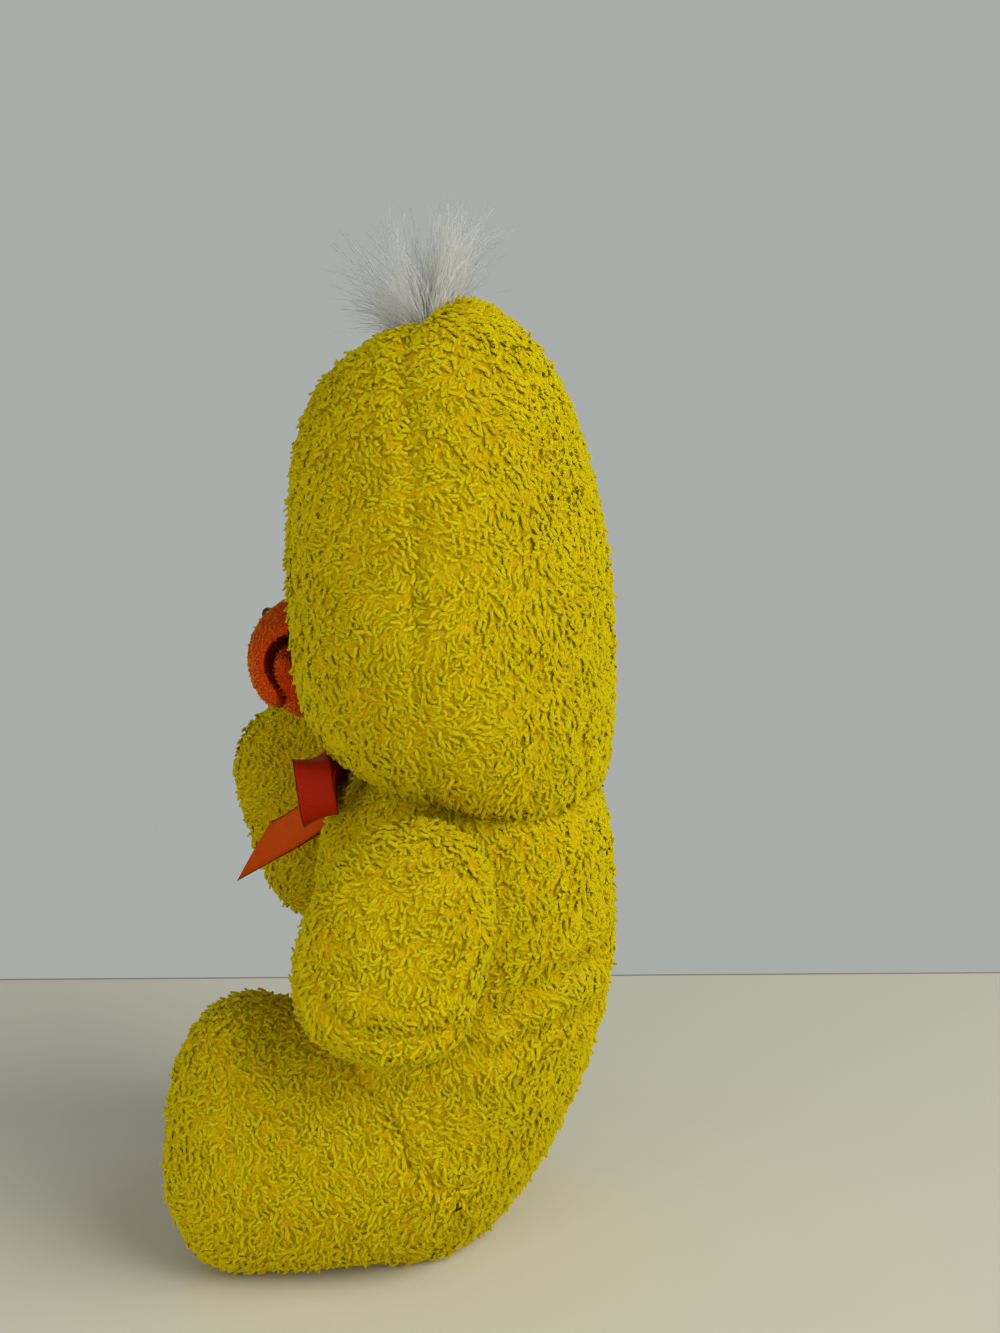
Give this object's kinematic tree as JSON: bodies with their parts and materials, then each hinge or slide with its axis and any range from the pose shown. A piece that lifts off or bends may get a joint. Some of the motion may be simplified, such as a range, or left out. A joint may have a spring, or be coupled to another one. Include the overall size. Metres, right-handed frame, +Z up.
{
  "type": "plush duck",
  "caption": "Seated soft plush duck in yellow looped terry cloth, with padded orange bill, mitten wings, thick feet, a ribbon bow at the neck and a tuft of white hair.",
  "frame": {"origin": "on the table, at the middle of the flattened seat under the body", "axes": "+Z up, -Y the way the duck faces, +X to its left"},
  "size_m": [0.1031, 0.0871, 0.198],
  "materials": {
    "yellow_terry": "looped terry cloth, matt",
    "orange_velour": "short looped pile, matt",
    "orange_satin": "satin ribbon, soft sheen",
    "white_hair": "fine synthetic hair, slightly glossy",
    "black_eye": "gloss",
    "black_thread": "stitched thread, matt"
  },
  "bodies": {
    "root": {"body": "yellow_terry", "head": "yellow_terry", "wing_left": "yellow_terry", "wing_right": "yellow_terry", "leg_left": "yellow_terry", "leg_right": "yellow_terry", "bill_upper": "orange_velour", "bill_lower": "orange_velour", "nostril_left": "black_thread", "nostril_right": "black_thread", "eye_left": "black_eye", "eye_right": "black_eye", "crest": "white_hair", "bow_knot": "orange_satin", "bow_loop_left": "orange_satin", "bow_loop_right": "orange_satin", "bow_tail_left": "orange_satin", "bow_tail_right": "orange_satin"}
  },
  "joints": []
}
